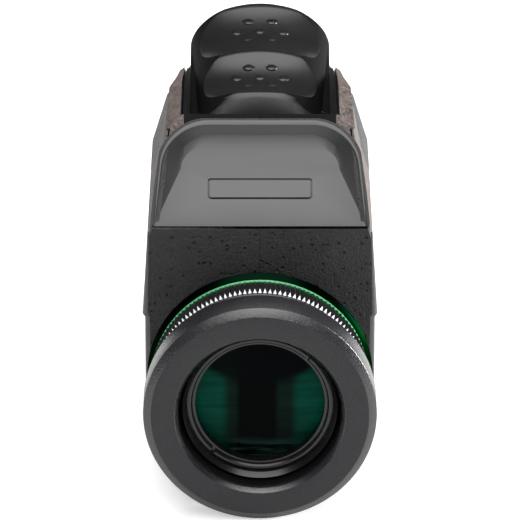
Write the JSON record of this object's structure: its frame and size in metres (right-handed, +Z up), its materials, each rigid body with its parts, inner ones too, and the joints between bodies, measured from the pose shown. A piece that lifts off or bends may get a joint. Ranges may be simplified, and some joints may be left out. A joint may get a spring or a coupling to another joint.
{
  "type": "pocket monocular",
  "caption": "Compact black roof-prism monocular with a rubber eyecup, knurled twist ring, green accent ring and a sliding finger lever on top that focuses it.",
  "frame": {"origin": "on the table under the middle of the monocular's box", "axes": "+Y along the optical axis away from the eye, +X to the user's right, +Z up"},
  "size_m": [0.0428, 0.1054, 0.0678],
  "materials": {
    "shell": "fine pitted black",
    "panel": "smooth satin black",
    "skin": "rough matt",
    "eyecup_rubber": "matt",
    "lever": "matt",
    "black_metal": "black anodised",
    "green_ring": "green anodised",
    "steel": "plain",
    "coated_glass": "green multicoated",
    "prism_glass": "polished",
    "seal": "matt"
  },
  "bodies": {
    "housing": {"body_left": "shell", "body_right": "shell", "side_skin_left": "skin", "side_skin_right": "skin", "rear_panel": "panel", "accent_ring": "green_ring", "eyepiece_housing": "black_metal", "eyepiece_barrel": "black_metal", "nose_ring": "black_metal", "eye_lens": "coated_glass", "lens_spacer": "black_metal", "eyepiece_doublet": "coated_glass", "field_spacer": "black_metal", "field_lens": "coated_glass", "field_stop": "black_metal", "prism_cage": "black_metal", "half_prism": "prism_glass", "roof_prism": "prism_glass", "prism_clip": "steel", "guide_rod_left": "steel", "guide_rod_right": "steel", "objective_barrel": "black_metal", "objective_flint": "coated_glass", "objective_crown": "coated_glass", "objective_retainer": "black_metal", "objective_bezel": "eyecup_rubber", "objective_oring": "seal", "body_screw_rear_upper": "steel", "body_screw_rear_lower": "steel", "body_screw_front_upper": "steel", "body_screw_front_lower": "steel"},
    "twist_ring": {"eyecup_ring": "black_metal"},
    "eyecup_group": {"eyecup": "eyecup_rubber", "eyecup_sleeve": "black_metal"},
    "focus_group": {"focus_lever": "lever", "slide_plate": "black_metal", "lever_screw_rear": "steel", "lever_screw_front": "steel", "drive_arm": "black_metal", "focus_cell": "black_metal", "focus_lens": "coated_glass"}
  },
  "joints": [
    {"name": "eyecup_twist", "type": "hinge", "parent": "housing", "child": "twist_ring", "pos_m": [0, -0.04, 0.0213], "axis": [0, -1, 0], "range_deg": [0, 120]},
    {"name": "eyecup_slide", "type": "slide", "parent": "housing", "child": "eyecup_group", "axis": [0, -1, 0], "range_m": [0, 0.006]},
    {"name": "focus_slide", "type": "slide", "parent": "housing", "child": "focus_group", "axis": [0, 1, 0], "range_m": [-0.005, 0.005]}
  ],
  "couplings": [
    {"joint": "eyecup_twist", "follows": "eyecup_slide", "rad_per_m": 349}
  ]
}
